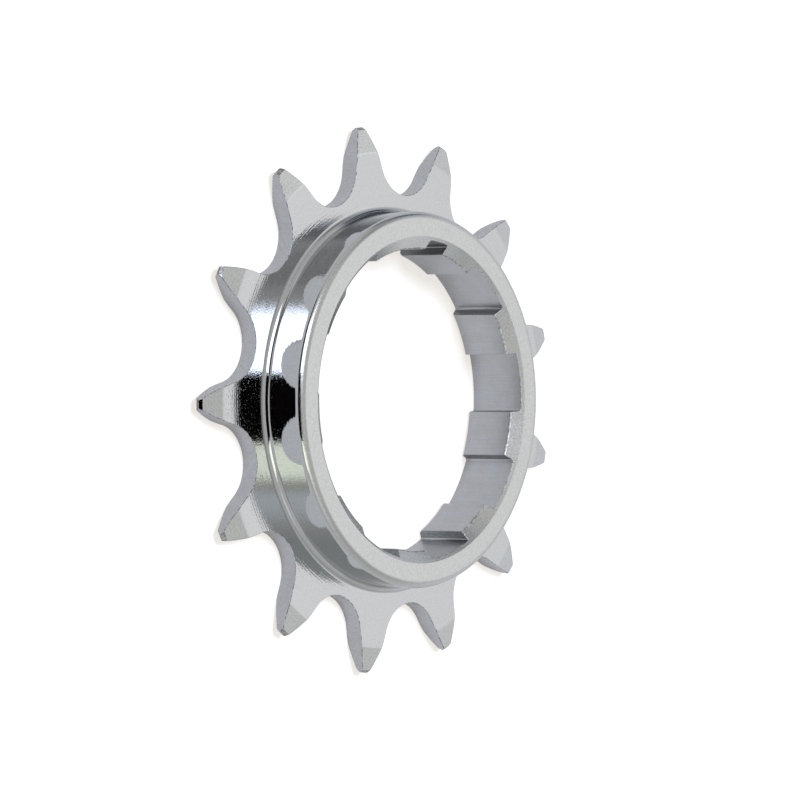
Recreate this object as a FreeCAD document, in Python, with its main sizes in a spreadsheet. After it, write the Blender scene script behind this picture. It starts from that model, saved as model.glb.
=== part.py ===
import FreeCAD, Part
import math
import os

import Sketcher

# A single speed cog, machined from one piece of steel.
# The shaft axis is Z, the toothed plate's flat back face lies at Z = 0, and one tooth points along -X.

SIZES = {
    # the chain and the teeth
    "chain_pitch": 12.7,
    "tooth_count": 13,
    "seat_radius": 4.26,
    "seat_angle": 127.8,
    "flank_radius": 17.26,
    "tooth_rise": 2.92,
    "tip_corner_radius": 0.3,
    # the toothed plate, thinned by a turned bevel on both sides and chamfered at the tips
    "plate_thickness": 2.0,
    "bevel_width": 2.5,
    "tip_land_width": 0.5,
    "tip_chamfer_depth": 0.22,
    "tip_chamfer_height": 0.42,
    # the collar that spaces the plate on its hub
    "collar_wall": 2.98,
    "collar_height": 4.9,
    "root_fillet_radius": 0.7,
    "front_edge_radius": 0.75,
    # the splined bore, with a wide lead-in at the front and a small one at the back
    "key_radius": 16.2,
    "groove_depth": 0.97,
    "groove_count": 9,
    "groove_width": 6.4,
    "groove_corner_radius": 0.25,
    "first_groove_angle": 125.7,
    "narrow_groove_width": 3.05,
    "narrow_groove_shift": 6.0,
    "mouth_width": 1.3,
    "mouth_depth": 0.9,
    "back_lead_in": 0.3,
}

PITCH_RADIUS = "(Sizes.chain_pitch / 2 / sin(180 deg / Sizes.tooth_count))"
TIP_RADIUS = f"({PITCH_RADIUS} + Sizes.tooth_rise)"
BEVEL_END_RADIUS = f"({TIP_RADIUS} - Sizes.tip_chamfer_height)"
BEVEL_START_RADIUS = f"({BEVEL_END_RADIUS} - Sizes.bevel_width)"
TIP_LAND_EDGE = "Sizes.tip_land_width / 2"
BEVEL_END_EDGE = f"({TIP_LAND_EDGE} + Sizes.tip_chamfer_depth)"
GROOVE_RADIUS = "(Sizes.key_radius + Sizes.groove_depth)"
MOUTH_RADIUS = "(Sizes.key_radius + Sizes.mouth_width)"
COLLAR_RADIUS = f"({GROOVE_RADIUS} + Sizes.collar_wall)"
MID_PLATE = "Sizes.plate_thickness / 2"
OVERALL_HEIGHT = "(Sizes.plate_thickness + Sizes.collar_height)"

# A tip corner's centre lies this share of its radius under the tip circle, so its arc crosses the circle
# before it has turned through the sweep.
TIP_CORNER_SINK = 0.8
TIP_CORNER_SWEEP = "45 deg"

X_AXIS = -1
ORIGIN = (-1, 1)
START, END, CENTRE = 1, 2, 3


def make_sheet():
    table = doc.addObject("Spreadsheet::Sheet", "Sizes")
    for row, (name, value) in enumerate(SIZES.items(), start=1):
        table.set(f"A{row}", name)
        table.set(f"B{row}", str(value))
        table.setAlias(f"B{row}", name)
    doc.recompute()
    return table


def size(formula):
    """The number that a formula on the sheet gives, in millimetres or degrees."""
    result = sheet.evalExpression(formula)
    return getattr(result, "Value", result)


def origin_feature(body, role):
    return next(item for item in body.Origin.OriginFeatures if item.Role == role)


def new_sketch(body, name, plane):
    sketch = body.newObject("Sketcher::SketchObject", name)
    sketch.AttachmentSupport = [(origin_feature(body, plane), "")]
    sketch.MapMode = "FlatFace"
    return sketch


def add_dimension(sketch, name, kind, places, formula):
    """Hold a dimension of the sketch at what the formula on the sheet gives."""
    value = size(formula)
    if kind == "Angle":
        value = math.radians(value)
    index = sketch.addConstraint(Sketcher.Constraint(kind, *places, value))
    sketch.renameConstraint(index, name)
    sketch.setExpression(f"Constraints.{name}", formula)


def point(x, y):
    return FreeCAD.Vector(x, y, 0)


def polar(radius, angle):
    return point(radius * math.cos(angle), radius * math.sin(angle))


def mirrored(place):
    """The same place on the other side of the X axis."""
    return point(place.x, -place.y)


def arc(centre, radius, start, end):
    circle = Part.Circle(centre, FreeCAD.Vector(0, 0, 1), radius)
    return Part.ArcOfCircle(circle, start, end)


def make_blank(body):
    """The turned blank: half of its section, beside the shaft axis, revolved."""
    # Each corner's radius and height, anticlockwise from the back of the bore.
    corners = [
        ("Sizes.key_radius + Sizes.back_lead_in", None),
        (BEVEL_START_RADIUS, None),
        (BEVEL_END_RADIUS, f"{MID_PLATE} - {BEVEL_END_EDGE}"),
        (TIP_RADIUS, f"{MID_PLATE} - {TIP_LAND_EDGE}"),
        (TIP_RADIUS, f"{MID_PLATE} + {TIP_LAND_EDGE}"),
        (BEVEL_END_RADIUS, f"{MID_PLATE} + {BEVEL_END_EDGE}"),
        (BEVEL_START_RADIUS, "Sizes.plate_thickness"),
        (f"{COLLAR_RADIUS} + Sizes.root_fillet_radius", "Sizes.plate_thickness"),
        (COLLAR_RADIUS, "Sizes.plate_thickness + Sizes.root_fillet_radius"),
        (COLLAR_RADIUS, f"{OVERALL_HEIGHT} - Sizes.front_edge_radius"),
        (f"{COLLAR_RADIUS} - Sizes.front_edge_radius", OVERALL_HEIGHT),
        (MOUTH_RADIUS, OVERALL_HEIGHT),
        ("Sizes.key_radius", f"{OVERALL_HEIGHT} - Sizes.mouth_depth"),
        ("Sizes.key_radius", "Sizes.back_lead_in"),
    ]
    root_fillet = 7
    front_edge = 9
    places = [point(size(radius), size(height) if height else 0) for radius, height in corners]

    sketch = new_sketch(body, "TurnedSection", "XZ_Plane")
    for index, place in enumerate(places):
        following = places[(index + 1) % len(places)]
        if index == root_fillet:
            centre = point(place.x, following.y)
            outline = arc(centre, size("Sizes.root_fillet_radius"), math.pi, 1.5 * math.pi)
        elif index == front_edge:
            centre = point(following.x, place.y)
            outline = arc(centre, size("Sizes.front_edge_radius"), 0, math.pi / 2)
        else:
            outline = Part.LineSegment(place, following)
        sketch.addGeometry(outline, False)

    # The root fillet's arc starts on the collar and ends on the plate, against the order of the corners.
    def first_end(index):
        return index, END if index == root_fillet else START

    def last_end(index):
        return index, START if index == root_fillet else END

    for index, (radius, height) in enumerate(corners):
        before = (index - 1) % len(corners)
        sketch.addConstraint(Sketcher.Constraint("Coincident", *last_end(before), *first_end(index)))
        corner = ORIGIN + first_end(index)
        add_dimension(sketch, f"radius_{index}", "DistanceX", corner, radius)
        if height:
            add_dimension(sketch, f"height_{index}", "DistanceY", corner, height)
        else:
            sketch.addConstraint(Sketcher.Constraint("PointOnObject", *first_end(index), X_AXIS))
    add_dimension(sketch, "root_fillet_radius", "Radius", (root_fillet,), "Sizes.root_fillet_radius")
    add_dimension(sketch, "front_edge_radius", "Radius", (front_edge,), "Sizes.front_edge_radius")

    blank = body.newObject("PartDesign::Revolution", "TurnedBlank")
    blank.Profile = sketch
    blank.ReferenceAxis = (origin_feature(body, "Z_Axis"), [""])
    blank.Angle = 360


def make_tooth_gap(body):
    """One gap between two teeth, centred on +X: the roller's seat, two convex flanks and tip corners."""
    pitch_radius = size(PITCH_RADIUS)
    seat_radius = size("Sizes.seat_radius")
    flank_radius = size("Sizes.flank_radius")
    corner_radius = size("Sizes.tip_corner_radius")
    corner_sweep = math.radians(size(TIP_CORNER_SWEEP))
    seat_half = math.radians(size("Sizes.seat_angle")) / 2
    corner_reach = f"{TIP_RADIUS} - {TIP_CORNER_SINK} * Sizes.tip_corner_radius"
    mouth_reach = f"{TIP_RADIUS} + Sizes.seat_radius"

    # The flank carries on from the seat with its centre on the same line, beyond the seat's end.
    seat_centre = point(pitch_radius, 0)
    seat_end = math.pi - seat_half
    flank_centre = seat_centre + polar(seat_radius + flank_radius, seat_end)
    flank_start = seat_end - math.pi

    # The tip corner lies inside the flank, where a triangle from the shaft axis puts its centre.
    inner = flank_radius - corner_radius
    away = flank_centre.Length
    swing = math.acos((inner ** 2 + away ** 2 - size(corner_reach) ** 2) / (2 * inner * away))
    flank_end = math.atan2(-flank_centre.y, -flank_centre.x) + swing
    corner_centre = flank_centre + polar(inner, flank_end)
    corner_finish = flank_end + corner_sweep
    corner_end = corner_centre + polar(corner_radius, corner_finish)
    mouth_end = point(size(mouth_reach), corner_end.y)

    sketch = new_sketch(body, "ToothGap", "XY_Plane")
    seat, upper, upper_tip, lower, lower_tip, upper_line, lower_line, mouth = sketch.addGeometry([
        arc(seat_centre, seat_radius, seat_end, seat_end + 2 * seat_half),
        arc(flank_centre, flank_radius, flank_start, flank_end),
        arc(corner_centre, corner_radius, flank_end, corner_finish),
        arc(mirrored(flank_centre), flank_radius, -flank_end, -flank_start),
        arc(mirrored(corner_centre), corner_radius, -corner_finish, -flank_end),
        Part.LineSegment(corner_end, mouth_end),
        Part.LineSegment(mirrored(corner_end), mirrored(mouth_end)),
        Part.LineSegment(mouth_end, mirrored(mouth_end)),
    ], False)
    sketch.addConstraint([
        Sketcher.Constraint("PointOnObject", seat, CENTRE, X_AXIS),
        Sketcher.Constraint("Vertical", seat, START, seat, END),
        Sketcher.Constraint("Tangent", seat, START, upper, START),
        Sketcher.Constraint("Tangent", seat, END, lower, END),
        Sketcher.Constraint("Tangent", upper, END, upper_tip, START),
        Sketcher.Constraint("Tangent", lower, START, lower_tip, END),
        Sketcher.Constraint("Equal", upper, lower),
        Sketcher.Constraint("Equal", upper_tip, lower_tip),
        Sketcher.Constraint("Vertical", upper_tip, CENTRE, lower_tip, CENTRE),
        Sketcher.Constraint("Vertical", upper_tip, END, lower_tip, START),
        Sketcher.Constraint("Coincident", upper_tip, END, upper_line, START),
        Sketcher.Constraint("Coincident", lower_tip, START, lower_line, START),
        Sketcher.Constraint("Horizontal", upper_line),
        Sketcher.Constraint("Horizontal", lower_line),
        Sketcher.Constraint("Coincident", upper_line, END, mouth, START),
        Sketcher.Constraint("Coincident", lower_line, END, mouth, END),
        Sketcher.Constraint("Vertical", mouth),
    ])
    add_dimension(sketch, "pitch_radius", "DistanceX", ORIGIN + (seat, CENTRE), PITCH_RADIUS)
    add_dimension(sketch, "seat_radius", "Radius", (seat,), "Sizes.seat_radius")
    add_dimension(sketch, "seat_angle", "Angle", (seat,), "Sizes.seat_angle * 1 deg")
    add_dimension(sketch, "flank_radius", "Radius", (upper,), "Sizes.flank_radius")
    add_dimension(sketch, "tip_corner_radius", "Radius", (upper_tip,), "Sizes.tip_corner_radius")
    add_dimension(sketch, "tip_corner_reach", "Distance", ORIGIN + (upper_tip, CENTRE), corner_reach)
    add_dimension(sketch, "tip_corner_sweep", "Angle", (upper_tip,), TIP_CORNER_SWEEP)
    add_dimension(sketch, "mouth_reach", "DistanceX", ORIGIN + (upper_line, END), mouth_reach)
    return cut_through(body, sketch)


def make_groove(body, name, width, angle):
    """One straight-sided groove, drawn along +X from well inside the bore, then turned to its place."""
    root_radius = size(GROOVE_RADIUS)
    corner_radius = size("Sizes.groove_corner_radius")
    start_reach = "Sizes.key_radius / 2"

    # Each root corner is tangent to the groove's side and, from the inside, to the root circle.
    side = size(width) / 2
    corner_y = side - corner_radius
    corner_x = math.sqrt((root_radius - corner_radius) ** 2 - corner_y ** 2)
    corner_centre = point(corner_x, corner_y)
    corner_angle = math.atan2(corner_y, corner_x)
    side_start = point(size(start_reach), side)
    side_end = point(corner_x, side)

    sketch = new_sketch(body, name, "XY_Plane")
    inner, upper, lower, upper_corner, lower_corner, root = sketch.addGeometry([
        Part.LineSegment(side_start, mirrored(side_start)),
        Part.LineSegment(side_start, side_end),
        Part.LineSegment(mirrored(side_start), mirrored(side_end)),
        arc(corner_centre, corner_radius, corner_angle, math.pi / 2),
        arc(mirrored(corner_centre), corner_radius, -math.pi / 2, -corner_angle),
        arc(point(0, 0), root_radius, -corner_angle, corner_angle),
    ], False)
    sketch.addConstraint([
        Sketcher.Constraint("Coincident", inner, START, upper, START),
        Sketcher.Constraint("Coincident", inner, END, lower, START),
        Sketcher.Constraint("Symmetric", inner, START, inner, END, X_AXIS),
        Sketcher.Constraint("Horizontal", upper),
        Sketcher.Constraint("Horizontal", lower),
        Sketcher.Constraint("Coincident", root, CENTRE, *ORIGIN),
        Sketcher.Constraint("Tangent", upper, END, upper_corner, END),
        Sketcher.Constraint("Tangent", lower, END, lower_corner, START),
        Sketcher.Constraint("Tangent", upper_corner, START, root, END),
        Sketcher.Constraint("Tangent", lower_corner, END, root, START),
        Sketcher.Constraint("Equal", upper_corner, lower_corner),
    ])
    add_dimension(sketch, "start_reach", "DistanceX", ORIGIN + (inner, START), start_reach)
    add_dimension(sketch, "width", "DistanceY", (inner, END, inner, START), width)
    add_dimension(sketch, "root_radius", "Radius", (root,), GROOVE_RADIUS)
    add_dimension(sketch, "corner_radius", "Radius", (upper_corner,), "Sizes.groove_corner_radius")
    turn = FreeCAD.Rotation(FreeCAD.Vector(0, 0, 1), size(angle))
    sketch.AttachmentOffset = FreeCAD.Placement(FreeCAD.Vector(), turn)
    sketch.setExpression("AttachmentOffset.Rotation.Angle", angle)
    return cut_through(body, sketch)


def cut_through(body, sketch):
    """Cut the sketch up through the whole cog."""
    pocket = body.newObject("PartDesign::Pocket", f"{sketch.Name}Cut")
    pocket.Profile = sketch
    pocket.Type = "ThroughAll"
    pocket.Reversed = True
    return pocket


def repeat_around(body, feature, name, count, angle):
    pattern = body.newObject("PartDesign::PolarPattern", name)
    pattern.Originals = [feature]
    pattern.Axis = (origin_feature(body, "Z_Axis"), [""])
    pattern.setExpression("Occurrences", count)
    pattern.setExpression("Angle", angle)
    body.Tip = pattern


def make_cog():
    body = doc.addObject("PartDesign::Body", "Cog")
    body.Label = "cog"
    body.Placement = FreeCAD.Placement()
    doc.recompute()
    make_blank(body)
    gap = make_tooth_gap(body)
    repeat_around(body, gap, "ToothGaps", "Sizes.tooth_count", "360 deg")

    # All grooves but one are alike and stand evenly. The last one is narrow and stands off its even place,
    # so that the cog fits its hub in one position only.
    step = "360 deg / Sizes.groove_count"
    first_angle = "Sizes.first_groove_angle * 1 deg"
    groove = make_groove(body, "Groove", "Sizes.groove_width", first_angle)
    repeat_around(body, groove, "Grooves", "Sizes.groove_count - 1", f"{step} * (Sizes.groove_count - 2)")
    narrow_angle = f"{first_angle} - {step} - Sizes.narrow_groove_shift * 1 deg"
    body.Tip = make_groove(body, "NarrowGroove", "Sizes.narrow_groove_width", narrow_angle)
    return body


def check(part):
    for item in doc.Objects:
        if "Invalid" in item.State or "Error" in item.State:
            raise RuntimeError(f"{item.Name} failed: {item.State}")
    if part.Shape.isNull() or not part.Shape.isValid():
        raise RuntimeError(f"{part.Label} has no sound shape")
    stages = [item for item in part.Group if item.isDerivedFrom("PartDesign::Feature")]
    for before, after in zip(stages, stages[1:]):
        if after.Shape.Volume >= before.Shape.Volume:
            raise RuntimeError(f"{after.Name} cut nothing")


doc = FreeCAD.newDocument("single_speed_cog")
sheet = make_sheet()
cog = make_cog()
doc.recompute()
check(cog)
os.makedirs("parts", exist_ok=True)
cog.Shape.exportStep(os.path.join("parts", f"{cog.Label}.step"))
print(cog.Label, "solids", len(cog.Shape.Solids), "faces", len(cog.Shape.Faces))
print("volume", round(cog.Shape.Volume, 2), "box", cog.Shape.BoundBox)
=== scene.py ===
import math

import bpy
from mathutils import Matrix, Vector


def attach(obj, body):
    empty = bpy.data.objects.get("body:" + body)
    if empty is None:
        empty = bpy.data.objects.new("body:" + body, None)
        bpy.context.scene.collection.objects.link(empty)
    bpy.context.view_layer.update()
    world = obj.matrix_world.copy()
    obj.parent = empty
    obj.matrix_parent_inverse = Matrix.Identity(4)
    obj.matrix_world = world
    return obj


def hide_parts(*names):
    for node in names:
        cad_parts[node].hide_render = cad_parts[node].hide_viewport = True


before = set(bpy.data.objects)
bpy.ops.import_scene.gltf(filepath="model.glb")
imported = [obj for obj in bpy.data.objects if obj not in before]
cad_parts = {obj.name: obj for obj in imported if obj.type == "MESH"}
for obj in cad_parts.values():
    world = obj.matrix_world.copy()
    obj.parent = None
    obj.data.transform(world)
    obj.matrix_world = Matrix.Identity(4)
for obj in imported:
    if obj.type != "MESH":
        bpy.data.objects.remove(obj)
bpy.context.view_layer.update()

# Lengths are millimetres and angles are degrees here, as on a drawing, except where a line says otherwise.
# The finished cog is brought to metres.
METRE = 1000
MICRON = 1e-6
FULL_TURN = 360
HALF_TURN = 180
QUARTER_TURN = 90

# The chain and the teeth
CHAIN_PITCH = 12.7
TEETH = 13
SEAT_RADIUS = 4.26
SEAT_ANGLE = 127.8
FLANK_RADIUS = 17.26
TIP_CORNER_RADIUS = 0.3
TIP_CORNER_SINK = 0.8
TIP_CORNER_SWEEP = 45
PITCH_RADIUS = CHAIN_PITCH / 2 / math.sin(math.pi / TEETH)
TIP_RADIUS = PITCH_RADIUS + 2.92

# The toothed plate, with a bevel on both sides of the teeth and a steeper chamfer at their tips
PLATE = 2.0
BEVEL_START = 26.534
BEVEL_START_ROUNDING = 0.15
BEVEL_LINE = 0.22
BEVEL_LINE_DROP = 0.03
BEVEL_END = 29.174
BEVEL_END_HALF = 0.44
BEVEL_ROUNDING = 0.05
TIP_LAND_HALF = 0.11
TIP_ROUNDING = 0.08

# The collar
COLLAR_RADIUS = 20.15
HEIGHT = 6.9
ROOT_FILLET = 0.78
FRONT_EDGE = 0.85

# The splined bore, with nine places round it, one of which has the narrow groove
KEY_RADIUS = 16.2
GROOVE_RADIUS = 17.17
GROOVES = 9
GROOVE_WIDTH = 6.4
GROOVE_CORNER = 0.25
FIRST_GROOVE = 125.7
NARROW_WIDTH = 3.05
NARROW_SHIFT = 6.0
MOUTH_RADIUS = 17.5
MOUTH_DEPTH = 0.9
MOUTH_ROUNDING = 0.12
MOUTH_FOOT_ROUNDING = 0.3
BACK_LEAD_IN = 0.3
BACK_EDGE_ROUNDING = 0.08
BACK_ROUNDING = 0.06

# How finely round forms are drawn
TURNED_STEPS = 13 * 9 * 4
LARGE_ROUND_STEPS = 12
MOUTH_STEPS = 4
ROUND_STEPS = 3
SMALL_ROUND_STEPS = 2
SEAT_STEPS = 20
FLANK_STEPS = 16
CORNER_STEPS = 5

# The cuts: how far a cutter stands out of the cog, and how the edges that it leaves are cleaned and broken
CUTTER_MARGIN = 1
WELD = 0.004
FLAT_ANGLE = 0.05
BACK_WELD = 0.019
BACK_WELD_DEPTH = 0.05
BACK_WELD_MARGIN = 0.1
SHARP_ANGLE = 20
EDGE_BREAK = 0.05
EDGE_BREAK_STEPS = 3
NORMAL_WEIGHT = 50

# Where one finish ends and the next begins
BURR_REACH = 0.15
BURR_HEIGHT = 0.13
MOUTH_FOOT_MARGIN = 0.1
FRONT_EDGE_SIDE_SHARE = 0.2
FRONT_EDGE_TOP_SHARE = 0.45
BORE_MARGIN = 1
SIDE_LIMIT = 0.5


def make_active(obj):
    """Select this object alone and make it the active one."""
    bpy.ops.object.select_all(action="DESELECT")
    bpy.context.view_layer.objects.active = obj
    obj.select_set(True)


def edit(obj, select="SELECT"):
    """Go into edit mode with all of the object's mesh selected or deselected, or with None as it was."""
    make_active(obj)
    bpy.ops.object.mode_set(mode="EDIT")
    if select:
        bpy.ops.mesh.select_all(action=select)


def leave_edit():
    bpy.ops.object.mode_set(mode="OBJECT")


def apply_modifier(obj, kind, **settings):
    """Add a modifier with these settings and apply it."""
    make_active(obj)
    modifier = obj.modifiers.new(kind.title(), kind)
    for key, value in settings.items():
        setattr(modifier, key, value)
    bpy.ops.object.modifier_apply(modifier=modifier.name)


def arc(centre, radius, start, end, steps):
    """Points on an arc about a centre."""
    angles = [math.radians(start + (end - start) * index / steps) for index in range(steps + 1)]
    return [Vector((centre[0] + radius * math.cos(a), centre[1] + radius * math.sin(a), 0)) for a in angles]


def mirrored(points):
    """The points on the other side of the X axis, in the opposite order."""
    return [Vector((p.x, -p.y, p.z)) for p in reversed(points)]


def draw_outline(name, points):
    """A closed flat outline: a plane shrunk to one corner, which is extruded from point to point."""
    bpy.ops.object.select_all(action="DESELECT")
    bpy.ops.mesh.primitive_plane_add(size=1, location=(0, 0, 0))
    obj = bpy.context.object
    obj.name = name
    edit(obj)
    bpy.ops.mesh.merge(type="CENTER")
    bpy.ops.transform.translate(value=points[0])
    for before, after in zip(points, points[1:]):
        bpy.ops.mesh.extrude_region_move(TRANSFORM_OT_translate={"value": after - before})
    bpy.ops.mesh.select_all(action="SELECT")
    bpy.ops.mesh.edge_face_add()
    leave_edit()
    return obj


def rounded(corners):
    """A section's corners, each given as radius, height, rounding and steps, with its rounding drawn in."""
    points = []
    count = len(corners)
    for index, (radius, height, rounding, steps) in enumerate(corners):
        here = Vector((radius, 0, height))
        if not rounding:
            points.append(here)
            continue
        before = Vector((corners[index - 1][0], 0, corners[index - 1][1]))
        after = Vector((corners[(index + 1) % count][0], 0, corners[(index + 1) % count][1]))
        towards_before = (before - here).normalized()
        towards_after = (after - here).normalized()
        half = towards_before.angle(towards_after) / 2
        start = here + towards_before * rounding / math.tan(half)
        end = here + towards_after * rounding / math.tan(half)
        centre = here + (towards_before + towards_after).normalized() * rounding / math.sin(half)
        spoke = start - centre
        sweep = spoke.angle(end - centre)
        axis = spoke.cross(end - centre).normalized()
        turns = [Matrix.Rotation(sweep * step / steps, 3, axis) for step in range(steps + 1)]
        points += [centre + turn @ spoke for turn in turns]
    return points


def turn_blank():
    """The blank as it leaves the lathe: its section spun round the shaft axis."""
    middle = PLATE / 2
    section = rounded([
        (KEY_RADIUS + BACK_LEAD_IN, 0, BACK_EDGE_ROUNDING, ROUND_STEPS),
        (BEVEL_START, 0, 0, 0),
        (BEVEL_END, middle - BEVEL_END_HALF, BEVEL_ROUNDING, SMALL_ROUND_STEPS),
        (TIP_RADIUS, middle - TIP_LAND_HALF, TIP_ROUNDING, ROUND_STEPS),
        (TIP_RADIUS, middle + TIP_LAND_HALF, TIP_ROUNDING, ROUND_STEPS),
        (BEVEL_END, middle + BEVEL_END_HALF, BEVEL_ROUNDING, SMALL_ROUND_STEPS),
        (BEVEL_START + BEVEL_LINE, PLATE - BEVEL_LINE_DROP, BEVEL_ROUNDING, SMALL_ROUND_STEPS),
        (BEVEL_START, PLATE, BEVEL_START_ROUNDING, ROUND_STEPS),
        (COLLAR_RADIUS, PLATE, ROOT_FILLET, LARGE_ROUND_STEPS),
        (COLLAR_RADIUS, HEIGHT, FRONT_EDGE, LARGE_ROUND_STEPS),
        (MOUTH_RADIUS, HEIGHT, MOUTH_ROUNDING, MOUTH_STEPS),
        (KEY_RADIUS, HEIGHT - MOUTH_DEPTH, MOUTH_FOOT_ROUNDING, MOUTH_STEPS),
        (KEY_RADIUS, BACK_LEAD_IN, BACK_ROUNDING, SMALL_ROUND_STEPS),
    ])
    blank = draw_outline("blank", section)
    edit(blank)
    bpy.ops.mesh.delete(type="ONLY_FACE")
    bpy.ops.mesh.select_all(action="SELECT")
    bpy.ops.mesh.spin(steps=TURNED_STEPS, angle=math.tau, center=(0, 0, 0), axis=(0, 0, 1))
    bpy.ops.mesh.select_all(action="SELECT")
    bpy.ops.mesh.remove_doubles(threshold=WELD)
    bpy.ops.mesh.normals_make_consistent(inside=False)
    leave_edit()
    return blank


def raise_cutter(outline):
    """Extrude a flat outline into a prism that passes through the whole cog."""
    edit(outline)
    bpy.ops.transform.translate(value=(0, 0, -CUTTER_MARGIN))
    bpy.ops.mesh.extrude_region_move(TRANSFORM_OT_translate={"value": (0, 0, HEIGHT + 2 * CUTTER_MARGIN)})
    bpy.ops.mesh.select_all(action="SELECT")
    bpy.ops.mesh.normals_make_consistent(inside=False)
    leave_edit()
    return outline


def turned_copy(obj, degrees):
    """A copy with its own mesh, turned round the shaft axis."""
    copy = obj.copy()
    copy.data = obj.data.copy()
    bpy.context.collection.objects.link(copy)
    copy.data.transform(Matrix.Rotation(math.radians(degrees), 4, "Z"))
    return copy


def join(objects):
    make_active(objects[0])
    for obj in objects:
        obj.select_set(True)
    bpy.ops.object.join()
    return objects[0]


def tooth_gap_cutter():
    """The gap between two teeth on +X: the roller's seat, two convex flanks and the tips' corners."""
    seat_end = HALF_TURN - SEAT_ANGLE / 2
    seat = arc((PITCH_RADIUS, 0), SEAT_RADIUS, seat_end, HALF_TURN, SEAT_STEPS)
    spoke = math.radians(seat_end)
    reach = SEAT_RADIUS + FLANK_RADIUS
    flank_centre = Vector((PITCH_RADIUS + reach * math.cos(spoke), reach * math.sin(spoke), 0))
    inner = FLANK_RADIUS - TIP_CORNER_RADIUS
    away = flank_centre.length
    corner_reach = TIP_RADIUS - TIP_CORNER_SINK * TIP_CORNER_RADIUS
    swing = math.acos((inner ** 2 + away ** 2 - corner_reach ** 2) / (2 * inner * away))
    flank_end = math.degrees(math.atan2(-flank_centre.y, -flank_centre.x) + swing)
    flank = arc(flank_centre, FLANK_RADIUS, flank_end, seat_end - HALF_TURN, FLANK_STEPS)
    flank_tip = math.radians(flank_end)
    corner_centre = flank_centre + inner * Vector((math.cos(flank_tip), math.sin(flank_tip), 0))
    corner = arc(corner_centre, TIP_CORNER_RADIUS, flank_end + TIP_CORNER_SWEEP, flank_end, CORNER_STEPS)
    mouth = Vector((TIP_RADIUS + SEAT_RADIUS, corner[0].y, 0))
    half = [mouth] + corner[:-1] + flank[:-1] + seat
    return raise_cutter(draw_outline("tooth_gap", half + mirrored(half)[1:]))


def groove_cutter(name, width):
    """A straight-sided groove along +X with rounded root corners."""
    side = width / 2
    corner_y = side - GROOVE_CORNER
    corner_x = math.sqrt((GROOVE_RADIUS - GROOVE_CORNER) ** 2 - corner_y ** 2)
    turn = math.degrees(math.atan2(corner_y, corner_x))
    corner = arc((corner_x, corner_y), GROOVE_CORNER, QUARTER_TURN, turn, CORNER_STEPS)
    root = arc((0, 0), GROOVE_RADIUS, turn, 0, LARGE_ROUND_STEPS)
    half = [Vector((KEY_RADIUS / 2, side, 0))] + corner + root[1:]
    return raise_cutter(draw_outline(name, half + mirrored(half)[1:]))


def cut(obj, cutter, surface):
    """Take the cutter out of the cog, and give what it leaves its own material."""
    cutter.data.materials.clear()
    cutter.data.materials.append(surface)
    apply_modifier(obj, "BOOLEAN", operation="DIFFERENCE", solver="EXACT", object=cutter,
                   material_mode="TRANSFER")
    bpy.data.objects.remove(cutter)


def zone(radius, height):
    """The turned surface that a place on the blank's section belongs to."""
    mouth_foot = HEIGHT - MOUTH_DEPTH
    # The ring at the lead-in cone's foot, whose finish has painted dashes of shade and glints
    if radius < KEY_RADIUS + BURR_REACH and abs(height - mouth_foot) < BURR_HEIGHT:
        return "bore_burr_with_painted_specks"
    if radius < KEY_RADIUS + BACK_LEAD_IN and height < mouth_foot:
        return "bore"
    if radius < MOUTH_RADIUS and height > mouth_foot - MOUTH_FOOT_MARGIN:
        return "mouth"
    on_top = height > HEIGHT - FRONT_EDGE_TOP_SHARE * FRONT_EDGE
    if on_top and radius < COLLAR_RADIUS - FRONT_EDGE_SIDE_SHARE * FRONT_EDGE:
        return "front"
    if radius < COLLAR_RADIUS + ROOT_FILLET and height > PLATE:
        return "collar"
    if radius > BEVEL_END:
        return "tip"
    if radius > BEVEL_START + BEVEL_LINE:
        return "bevel"
    return "bevel_start" if radius > BEVEL_START else "plate"


# The places of a mix node's two colours among its inputs
MIX_COLOURS = (6, 7)


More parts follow.
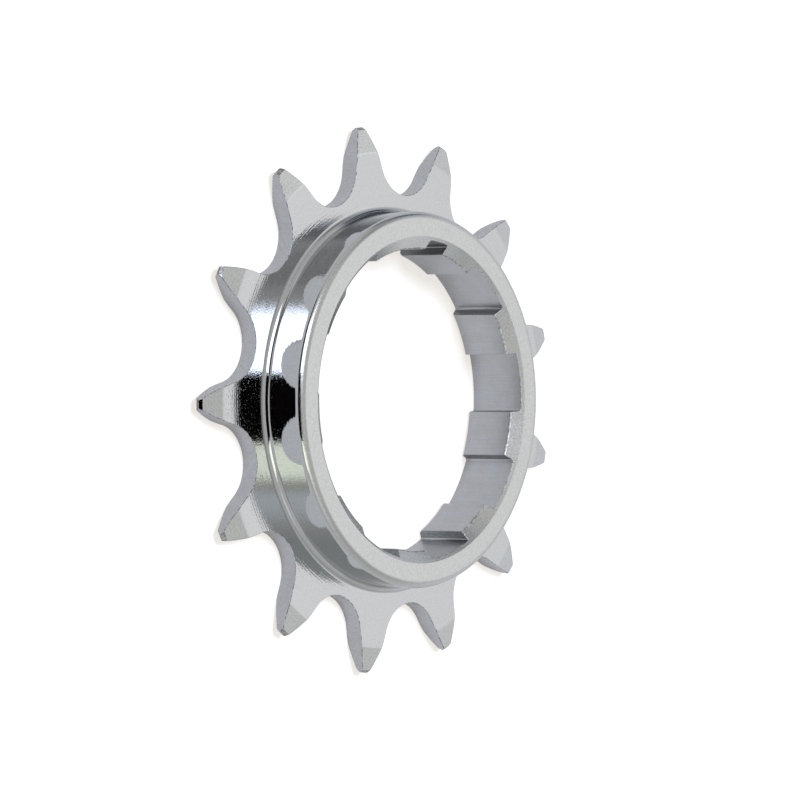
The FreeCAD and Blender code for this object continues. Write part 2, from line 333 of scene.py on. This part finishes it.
class Nodes:
    """The node tree of one material or world, with short ways to add to it."""

    def __init__(self, owner):
        owner.use_nodes = True
        self.tree = owner.node_tree

    def add(self, kind, **settings):
        node = self.tree.nodes.new(kind)
        for key, value in settings.items():
            setattr(node, key, value)
        return node

    def put(self, socket, value):
        """Link a socket into another, or write a plain value on it."""
        if isinstance(value, bpy.types.NodeSocket):
            self.tree.links.new(value, socket)
        else:
            socket.default_value = value

    def math(self, operation, *values):
        node = self.add("ShaderNodeMath", operation=operation)
        for socket, value in zip(node.inputs, values):
            self.put(socket, value)
        return node.outputs[0]

    def dot(self, vector, direction):
        node = self.add("ShaderNodeVectorMath", operation="DOT_PRODUCT")
        self.put(node.inputs[0], vector)
        self.put(node.inputs[1], direction)
        return node.outputs["Value"]

    def parts(self, vector):
        """A vector's X, Y and Z."""
        node = self.add("ShaderNodeSeparateXYZ")
        self.put(node.inputs[0], vector)
        return node.outputs

    def step(self, value, start, end):
        """0 before start and 1 after end, with a smooth rise between them."""
        node = self.add("ShaderNodeMapRange", interpolation_type="SMOOTHSTEP")
        self.put(node.inputs["Value"], value)
        node.inputs["From Min"].default_value = start
        node.inputs["From Max"].default_value = end
        return node.outputs["Result"]

    def window(self, value, start, end, soft):
        """1 between start and end and 0 outside them, and half way between the two at each."""
        return self.math("MULTIPLY", self.step(value, start - soft, start + soft),
                         self.step(value, end + soft, end - soft))

    def mix(self, factor, first, second, blend="MIX"):
        node = self.add("ShaderNodeMix", data_type="RGBA", blend_type=blend)
        self.put(node.inputs["Factor"], factor)
        for place, value in zip(MIX_COLOURS, (first, second)):
            self.put(node.inputs[place], value if isinstance(value, bpy.types.NodeSocket) else (*value, 1))
        return node.outputs[2]

    def noise(self, vector, size, detail=2.0, stretch=(1, 1, 1)):
        """Noise with features of this size in millimetres, longer along an axis where stretch is over 1."""
        place = self.add("ShaderNodeMapping")
        self.put(place.inputs["Vector"], vector)
        place.inputs["Scale"].default_value = [METRE / size / share for share in stretch]
        node = self.add("ShaderNodeTexNoise")
        self.put(node.inputs["Vector"], place.outputs[0])
        node.inputs["Scale"].default_value = 1
        node.inputs["Detail"].default_value = detail
        return node.outputs[0]

    def radius(self, vector):
        """The distance from the shaft axis."""
        x, y, _ = self.parts(vector)
        return self.math("SQRT", self.math("ADD", self.math("MULTIPLY", x, x), self.math("MULTIPLY", y, y)))

    def rings(self, vector, size):
        """Noise that changes only with the radius and the height, as a turning tool leaves."""
        place = self.add("ShaderNodeCombineXYZ")
        self.put(place.inputs[0], self.radius(vector))
        self.put(place.inputs[1], self.parts(vector)[2])
        return self.noise(place.outputs[0], size, 1.0)

    def feed_lines(self, vector, pitch):
        """The even ridges of a turning tool that moves outwards by this pitch at each turn."""
        return self.math("SINE", self.math("MULTIPLY", self.radius(vector), math.tau * METRE / pitch))


# Noise runs from 0 to 1 about a half: spots are where it rises through the first range, and pits, which are
# fewer, where it rises through the second.
SPOT_RANGE = (0.35, 0.65)
PIT_RANGE = (0.64, 0.74)
STROKE_STRETCH = (1, 1, 40)


def metal(name, color, roughness, grain=(), rings=(), feed=(), pits=(), strokes=(), mottle=()):
    """Bright plated steel. Grain, rings and pits each give a size in millimetres and a depth in microns, and
    feed gives the pitch and the depth of even ridges. Mottle gives the size of spots and their darkest and
    lightest colour, as shares of the metal's own. Strokes give a width and the share by which marks along
    the shaft are darker or lighter."""
    made = bpy.data.materials.new(name)
    nodes = Nodes(made)
    shader = made.node_tree.nodes["Principled BSDF"]
    shader.inputs["Base Color"].default_value = (*color, 1)
    shader.inputs["Metallic"].default_value = 1
    shader.inputs["Roughness"].default_value = roughness
    place = nodes.add("ShaderNodeTexCoord").outputs["Object"]
    height = 0.0
    for size, depth in grain:
        height = nodes.math("MULTIPLY_ADD", nodes.noise(place, size), depth, height)
    for size, depth in rings:
        height = nodes.math("MULTIPLY_ADD", nodes.rings(place, size), depth, height)
    for pitch, depth in feed:
        height = nodes.math("MULTIPLY_ADD", nodes.feed_lines(place, pitch), depth, height)
    for size, depth in pits:
        height = nodes.math("MULTIPLY_ADD", nodes.step(nodes.noise(place, size), *PIT_RANGE), -depth, height)
    bump = nodes.add("ShaderNodeBump")
    bump.inputs["Distance"].default_value = MICRON
    nodes.put(bump.inputs["Height"], height)
    nodes.put(shader.inputs["Normal"], bump.outputs[0])
    tone = color
    for size, dark, light in mottle:
        spots = nodes.step(nodes.noise(place, size), *SPOT_RANGE)
        tone = nodes.mix(1.0, tone, nodes.mix(spots, dark, light), "MULTIPLY")
    for size, share in strokes:
        lines = nodes.step(nodes.noise(place, size, 1.0, STROKE_STRETCH), *SPOT_RANGE)
        tone = nodes.mix(1.0, tone, nodes.mix(lines, (1 - share,) * 3, (1 + share,) * 3), "MULTIPLY")
    if mottle or strokes:
        nodes.put(shader.inputs["Base Color"], tone)
    return made


def speckle(size, share):
    """Mottle that makes spots of this size darker and lighter by a share."""
    return size, (1 - share,) * 3, (1 + share,) * 3


# The plating's faint drift from warm to cool, over a millimetre or two
WARM_TO_COOL = (1.5, (0.98, 0.97, 0.96), (1.01, 1.015, 1.035))

# What the machining left on each surface, under the plating; the groove sides' dark colour is painted shade,
# and the burred edges' dark and light spots are painted specks of shade and glints
FINISHES = {
    "plate": metal("turned_plate", color=(0.58, 0.585, 0.59), roughness=0.06, grain=[(0.18, 9.0)],
                   rings=[(0.24, 8.0)], feed=[(0.3, 0.75)], pits=[(0.22, 4.0)], mottle=[speckle(0.2, 0.03)]),
    "bevel": metal("turned_bevel", color=(0.65, 0.66, 0.65), roughness=0.2, grain=[(0.2, 12.0)],
                   rings=[(0.25, 8.0)], mottle=[speckle(0.2, 0.05)]),
    "collar": metal("polished_collar", color=(0.58, 0.585, 0.59), roughness=0.05, grain=[(0.2, 2.5)],
                    rings=[(0.4, 5.0)], mottle=[speckle(0.25, 0.03)]),
    "front": metal("satin_front", color=(0.63, 0.63, 0.62), roughness=0.25, grain=[(0.2, 10.0)],
                   rings=[(0.3, 10.0)], mottle=[speckle(0.2, 0.04)]),
    "mouth": metal("lead_in_cone", color=(0.69, 0.69, 0.68), roughness=0.25, grain=[(0.22, 9.0)],
                   rings=[(0.3, 5.0)], mottle=[speckle(0.2, 0.05), WARM_TO_COOL]),
    "bore": metal("broached_bore", color=(0.61, 0.61, 0.62), roughness=0.3, grain=[(0.25, 10.0)],
                  strokes=[(0.12, 0.025)], mottle=[speckle(0.2, 0.03), WARM_TO_COOL]),
    "flank": metal("milled_flank", color=(0.6, 0.6, 0.61), roughness=0.3, grain=[(0.22, 20.0), (0.9, 60.0)],
                   mottle=[speckle(0.2, 0.06), WARM_TO_COOL]),
    "groove": metal("broached_groove", color=(0.61, 0.61, 0.62), roughness=0.3, grain=[(0.25, 10.0)],
                    strokes=[(0.12, 0.025)], mottle=[speckle(0.2, 0.03), WARM_TO_COOL]),
    # The groove sides' dark colour is painted shade, for the shadowed hollow that they reflect; the strokes
    # are broaching marks
    "groove_side_painted_shade": metal("groove_side_painted_shade", color=(0.31, 0.32, 0.32), roughness=0.35, grain=[(0.25, 10.0)],
                         strokes=[(0.14, 0.1)], mottle=[speckle(0.25, 0.1)]),
    # The broken edges: a rough burred finish, with strong dark and light spots that are painted specks of
    # shade and glints
    "burr_with_painted_specks": metal("burred_edge_with_painted_specks", color=(0.62, 0.62, 0.62), roughness=0.35, grain=[(0.25, 30.0)],
                  mottle=[(0.4, (0.2, 0.2, 0.2), (1.15, 1.15, 1.15))]),
    # The ring at the lead-in cone's foot: its strong dark and light spots are painted dashes of shade and
    # glints
    "bore_burr_with_painted_specks": metal("burred_groove_edge_with_painted_specks", color=(0.6, 0.6, 0.6), roughness=0.45, grain=[(0.3, 10.0)],
                       mottle=[speckle(0.4, 0.35)]),
    "bevel_start": metal("bevel_start", color=(0.67, 0.68, 0.68), roughness=0.2, grain=[(0.2, 6.0)],
                         mottle=[speckle(0.2, 0.04)]),
    "tip": metal("turned_tip", color=(0.38, 0.38, 0.38), roughness=0.12, grain=[(0.2, 6.0)],
                 mottle=[speckle(0.3, 0.3)]),
}
SLOTS = {name: index for index, name in enumerate(FINISHES)}


def give_zones(cog):
    """Put every finish on the blank, and give each of its faces the finish of its zone."""
    for finish in FINISHES.values():
        cog.data.materials.append(finish)
    for face in cog.data.polygons:
        face.material_index = SLOTS[zone(face.center.xy.length, face.center.z)]


def cut_teeth(cog):
    gap = tooth_gap_cutter()
    gaps = [gap] + [turned_copy(gap, FULL_TURN / TEETH * index) for index in range(1, TEETH)]
    cut(cog, join(gaps), FINISHES["flank"])


def cut_grooves(cog):
    """Cut eight even grooves and the narrow one, a little off its even place, and give their sides a darker
    colour, which is painted shade.
    """
    pitch = FULL_TURN / GROOVES
    groove = groove_cutter("groove", GROOVE_WIDTH)
    grooves = [turned_copy(groove, FIRST_GROOVE + pitch * index) for index in range(GROOVES - 1)]
    bpy.data.objects.remove(groove)
    narrow = groove_cutter("narrow_groove", NARROW_WIDTH)
    narrow.data.transform(Matrix.Rotation(math.radians(FIRST_GROOVE - pitch - NARROW_SHIFT), 4, "Z"))
    cut(cog, join(grooves + [narrow]), FINISHES["groove"])
    for face in cog.data.polygons:
        outward = Vector((*face.center.xy, 0)).normalized()
        if face.material_index == SLOTS["groove"] and abs(face.normal.dot(outward)) < SIDE_LIMIT:
            face.material_index = SLOTS["groove_side_painted_shade"]


def clean_cuts(cog):
    """Merge the doubles that the cuts leave, and take out the lines they leave on flat faces."""
    edit(cog)
    bpy.ops.mesh.remove_doubles(threshold=WELD)
    bpy.ops.mesh.dissolve_limited(angle_limit=math.radians(FLAT_ANGLE), delimit={"MATERIAL"})
    leave_edit()


def clear_selection(cog, mode):
    """Deselect the mesh, and choose whether points or edges are selected next."""
    edit(cog, select=None)
    bpy.ops.mesh.select_mode(type=mode)
    bpy.ops.mesh.select_all(action="DESELECT")
    leave_edit()


def weld_back_corners(cog):
    """Bring the blank's points by the bore's back edge onto the grooves' corners where they all but meet."""
    clear_selection(cog, "VERT")
    reach = KEY_RADIUS + BACK_LEAD_IN + BACK_WELD_MARGIN
    for vertex in cog.data.vertices:
        vertex.select = vertex.co.z < BACK_WELD_DEPTH and vertex.co.xy.length < reach
    edit(cog, select=None)
    bpy.ops.mesh.remove_doubles(threshold=BACK_WELD)
    leave_edit()


def break_edges(cog):
    """Round off each sharp edge where a milled or broached surface meets another, and give the rounding
    painted specks of shade and glints, except down the bore below the mouth, where it takes the plain groove
    finish.
    """
    clear_selection(cog, "EDGE")
    faces_at = {}
    for face in cog.data.polygons:
        for key in face.edge_keys:
            faces_at.setdefault(key, []).append(face)
    for edge in cog.data.edges:
        first, second = faces_at[edge.key]
        sharp = first.normal.angle(second.normal) > math.radians(SHARP_ANGLE)
        edge.select = sharp and first.material_index != second.material_index
    edit(cog, select=None)
    bpy.ops.mesh.bevel(offset=EDGE_BREAK, segments=EDGE_BREAK_STEPS, affect="EDGES", material=SLOTS["burr_with_painted_specks"])
    leave_edit()
    for face in cog.data.polygons:
        if face.material_index == SLOTS["burr_with_painted_specks"] and face.center.xy.length < MOUTH_RADIUS + BORE_MARGIN:
            at_mouth = face.center.z > HEIGHT - MOUTH_DEPTH - MOUTH_FOOT_MARGIN
            face.material_index = SLOTS["bore_burr_with_painted_specks" if at_mouth else "groove"]


def make_cog():
    """The finished cog, in the order of the real one's making, in place of the plain CAD one."""
    cog = turn_blank()
    cog.name = "finished_cog"
    give_zones(cog)
    cut_teeth(cog)
    cut_grooves(cog)
    clean_cuts(cog)
    weld_back_corners(cog)
    break_edges(cog)
    bpy.ops.object.shade_smooth()
    apply_modifier(cog, "WEIGHTED_NORMAL", mode="FACE_AREA", weight=NORMAL_WEIGHT)
    cog.data.transform(Matrix.Scale(1 / METRE, 4))
    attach(cog, "root")
    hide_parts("cog")


# The camera, as fitted to the photograph: the angle between the shaft and the view, the shaft's roll in the
# picture, how far the cog is turned about its shaft, and where the cog's origin lies to the right of the
# lens, below it and ahead of it.
VIEW_TILT = math.radians(50.527)
VIEW_ROLL = math.radians(-0.148)
VIEW_TURN = math.radians(0.92)
VIEW_PLACE = Vector((-2.6945, -0.0239, 415.145)) / METRE
FOCAL_PIXELS = 3839.29
FRAME_PIXELS = 800
SENSOR = 36
CLIP_START = 10 / METRE


def view_directions():
    """The image's right, down and ahead in the cog's frame."""
    shaft = Vector((math.sin(VIEW_TILT) * math.cos(VIEW_ROLL),
                    -math.sin(VIEW_TILT) * math.sin(VIEW_ROLL), -math.cos(VIEW_TILT)))
    across = Vector((0, -1, 0)).cross(shaft).normalized()
    up = shaft.cross(across)
    turn = Matrix.Rotation(-VIEW_TURN, 3, "Z")
    return [turn @ Vector((across[i], up[i], shaft[i])) for i in range(3)]


def camera_turn():
    """The turn that brings X to the image's right, Y to its top and -Z ahead."""
    right, down, ahead = view_directions()
    return Matrix((right, -down, -ahead)).transposed().to_4x4()


def add_camera():
    right, down, ahead = view_directions()
    place = -(VIEW_PLACE.x * right + VIEW_PLACE.y * down + VIEW_PLACE.z * ahead)
    data = bpy.data.cameras.new("camera")
    data.sensor_width = SENSOR
    data.lens = FOCAL_PIXELS * SENSOR / FRAME_PIXELS
    data.clip_start = CLIP_START
    camera = bpy.data.objects.new("camera", data)
    bpy.context.collection.objects.link(camera)
    camera.matrix_world = Matrix.Translation(place) @ camera_turn()
    bpy.context.scene.camera = camera


# What the metal reflects of the studio, as seen from the cog: each card's reach to the image's right and up
# from the camera, how softly its sides and its ends fade, and its light. All but the light is in degrees.
STUDIO_BASE = (0.58, 0.58, 0.575)
STUDIO_CARDS = {
    "far_right": ((112, 180), (-40, 40), 8, 10, (0.74, 0.75, 0.79)),
    "right_wall": ((84, 108), (-16, 22), 11, 10, (1.04, 1.05, 1.07)),
    "upper_right": ((84, 140), (25, 38), 8, 5, (0.58, 0.61, 0.66)),
    "dark_above": ((30, 96), (46, 51), 8, 2, (0.32, 0.33, 0.34)),
    "dark_right": ((78, 96), (31, 47), 4, 3, (0.25, 0.26, 0.28)),
    "dark_far": ((113, 160), (38, 68), 4, 4, (0.09, 0.11, 0.14)),
    "grey_far": ((94, 112), (39, 62), 5, 4, (0.38, 0.39, 0.39)),
    "dim_below": ((50, 105), (-56, -26), 14, 6, (0.46, 0.48, 0.48)),
    "blue_below": ((10, 36), (-56, -39), 14, 2, (0.86, 0.93, 0.98)),
    "brown_line": ((-14, 20), (-40, -37), 4, 1, (0.6, 0.58, 0.5)),
    "soft_box": ((-10, 24), (11, 39.5), 4, 3.5, (3.4, 3.7, 4.3)),
    "left_dark": ((-45, -21), (9, 60), 1.5, 6, (0.02, 0.02, 0.02)),
    "pale_below": ((-14, 18), (-36, -20), 4, 2, (1.73, 1.84, 1.57)),
}
SKY_LIGHT = (0.42, 0.42, 0.42)
WHITE = (1.0, 1.0, 1.0)


def add_studio():
    """A world that is white to the camera and an even grey light on the floor, and that shows the metal the
    studio's cards, each laid over those before it."""
    world = bpy.data.worlds.new("studio")
    bpy.context.scene.world = world
    world.cycles.sampling_method = "NONE"
    nodes = Nodes(world)
    right, down, ahead = view_directions()
    direction = nodes.add("ShaderNodeTexCoord").outputs["Generated"]
    towards = nodes.dot(direction, -ahead)
    across = nodes.math("DEGREES", nodes.math("ARCTAN2", nodes.dot(direction, right), towards))
    above = nodes.math("DEGREES", nodes.math("ARCSINE", nodes.dot(direction, -down)))
    reflected = STUDIO_BASE
    for (left, far_right), (bottom, top), side_soft, end_soft, light in STUDIO_CARDS.values():
        on_patch = nodes.math("MULTIPLY", nodes.window(across, left, far_right, side_soft),
                             nodes.window(above, bottom, top, end_soft))
        reflected = nodes.mix(on_patch, reflected, light)
    rays = nodes.add("ShaderNodeLightPath")
    seen = nodes.mix(rays.outputs["Is Camera Ray"], SKY_LIGHT, WHITE)
    colour = nodes.mix(rays.outputs["Is Glossy Ray"], seen, reflected)
    nodes.put(world.node_tree.nodes["Background"].inputs["Color"], colour)


KEY_LIGHT = (0.86, 0.93, 1.0)
KEY_STRENGTH = 2.5
KEY_SOFTNESS = math.radians(25)
KEY_TILT = math.radians(20)


def add_key_light():
    """A wide soft lamp from the image's top, for the floor's shadow; the metal shows the cards instead."""
    data = bpy.data.lights.new("key_light", "SUN")
    data.energy = KEY_STRENGTH
    data.color = KEY_LIGHT
    data.angle = KEY_SOFTNESS
    lamp = bpy.data.objects.new("key_light", data)
    lamp.visible_glossy = False
    lamp.rotation_euler = (-KEY_TILT, 0, 0)
    bpy.context.collection.objects.link(lamp)


# The black card round the lens: the place on the cog that it is set out from, how far it is from there
# towards the lens, and its reach to the image's right and up.
CARD_FROM = Vector((-20.5, 0, 4.5))
CARD_AWAY = 40
CARD_RIGHT = (-23, 10)
CARD_UP = (-19.2, 12.2)
CARD_COLOUR = (0.003, 0.002, 0.002)


def glowing(nodes, colour):
    """A surface that shows this colour whatever light falls on it."""
    glow = nodes.add("ShaderNodeEmission")
    nodes.put(glow.inputs["Color"], colour)
    return glow.outputs[0]


def add_black_card():
    """A card that only the metal shows, and so near that only what faces the lens shows it."""
    bpy.ops.object.select_all(action="DESELECT")
    bpy.ops.mesh.primitive_plane_add(size=1, location=(0, 0, 0))
    card = bpy.context.object
    card.name = "black_card"
    right, down, ahead = view_directions()
    centre = CARD_FROM - ahead * CARD_AWAY + right * sum(CARD_RIGHT) / 2 - down * sum(CARD_UP) / 2
    wide = CARD_RIGHT[1] - CARD_RIGHT[0]
    tall = CARD_UP[1] - CARD_UP[0]
    size = Matrix.Diagonal((wide / METRE, tall / METRE, 1, 1))
    card.matrix_world = Matrix.Translation(centre / METRE) @ camera_turn() @ size
    card.visible_camera = False
    card.visible_diffuse = False
    card.visible_transmission = False
    card.visible_shadow = False
    paint = bpy.data.materials.new("black_card")
    nodes = Nodes(paint)
    nodes.put(paint.node_tree.nodes["Material Output"].inputs[0], glowing(nodes, (*CARD_COLOUR, 1)))
    card.data.materials.append(paint)


# The floor, in metres: it lies just under the cog's back face, so that the two don't fight from below.
FLOOR_SIZE = 4
FLOOR_GAP = 0.02 / METRE

# The floor's paint, which takes the shadow, its own glow, and the glow's share of what shows, first for what
# the camera sees and then for what the metal reflects of it
FLOOR_PAINT = (0.88, 0.89, 0.92)
FLOOR_GLOW = (1.36, 1.3, 1.22)
FLOOR_GLOW_SHARE = 0.5
MIRRORED_PAINT = (0.6, 0.6, 0.61)
MIRRORED_GLOW = (0.65, 0.65, 0.67)
MIRRORED_GLOW_SHARE = 0.5

# Painted shade: a dark patch on the floor inside the hole, standing for the shadow there, that only the
# metal shows: its colour, its reach along X and from the axis
HOLE_PAINTED_SHADE = (0.06, 0.06, 0.065)
HOLE_PAINTED_SHADE_REACH = (-3.5, 8.3)
HOLE_PAINTED_SHADE_RADIUS = 13
HOLE_PAINTED_SHADE_SOFT = 0.5


def hole_painted_shade(nodes):
    """1 on the painted shade inside the hole and 0 off it."""
    place = nodes.add("ShaderNodeTexCoord").outputs["Object"]
    start, end = HOLE_PAINTED_SHADE_REACH
    soft = HOLE_PAINTED_SHADE_SOFT / METRE
    away = nodes.add("ShaderNodeVectorMath", operation="LENGTH")
    nodes.put(away.inputs[0], place)
    across = nodes.window(nodes.parts(place)[0], start / METRE, end / METRE, soft)
    rim = HOLE_PAINTED_SHADE_RADIUS / METRE
    return nodes.math("MULTIPLY", across, nodes.step(away.outputs["Value"], rim + soft, rim - soft))


def add_floor():
    """A pale floor that keeps the cog's shadow and is white beyond it, and that shows the metal a painted
    shadow inside the hole.
    """
    bpy.ops.object.select_all(action="DESELECT")
    bpy.ops.mesh.primitive_plane_add(size=FLOOR_SIZE, location=(0, 0, -FLOOR_GAP))
    floor = bpy.context.object
    floor.name = "floor"
    paint = bpy.data.materials.new("pale_floor")
    nodes = Nodes(paint)
    rays = nodes.add("ShaderNodeLightPath")
    on_camera = rays.outputs["Is Camera Ray"]
    on_metal = rays.outputs["Is Glossy Ray"]
    # Inside the hole the metal sees painted shade on the floor, standing for the shadow there
    on_patch = hole_painted_shade(nodes)
    shader = paint.node_tree.nodes["Principled BSDF"]
    nodes.put(shader.inputs["Base Color"],
              nodes.mix(on_metal, FLOOR_PAINT, nodes.mix(on_patch, MIRRORED_PAINT, HOLE_PAINTED_SHADE)))
    shader.inputs["Roughness"].default_value = 1
    shader.inputs["Specular IOR Level"].default_value = 0
    glow = glowing(nodes, nodes.mix(on_metal, FLOOR_GLOW, nodes.mix(on_patch, MIRRORED_GLOW, HOLE_PAINTED_SHADE)))
    blend = nodes.add("ShaderNodeMixShader")
    share = nodes.math("MULTIPLY", on_camera, FLOOR_GLOW_SHARE)
    nodes.put(blend.inputs[0], nodes.math("MULTIPLY_ADD", on_metal, MIRRORED_GLOW_SHARE, share))
    nodes.put(blend.inputs[1], shader.outputs[0])
    nodes.put(blend.inputs[2], glow)
    nodes.put(paint.node_tree.nodes["Material Output"].inputs[0], blend.outputs[0])
    floor.data.materials.append(paint)


make_cog()
add_camera()
add_studio()
add_key_light()
add_black_card()
add_floor()
bpy.context.scene.view_settings.view_transform = "Standard"
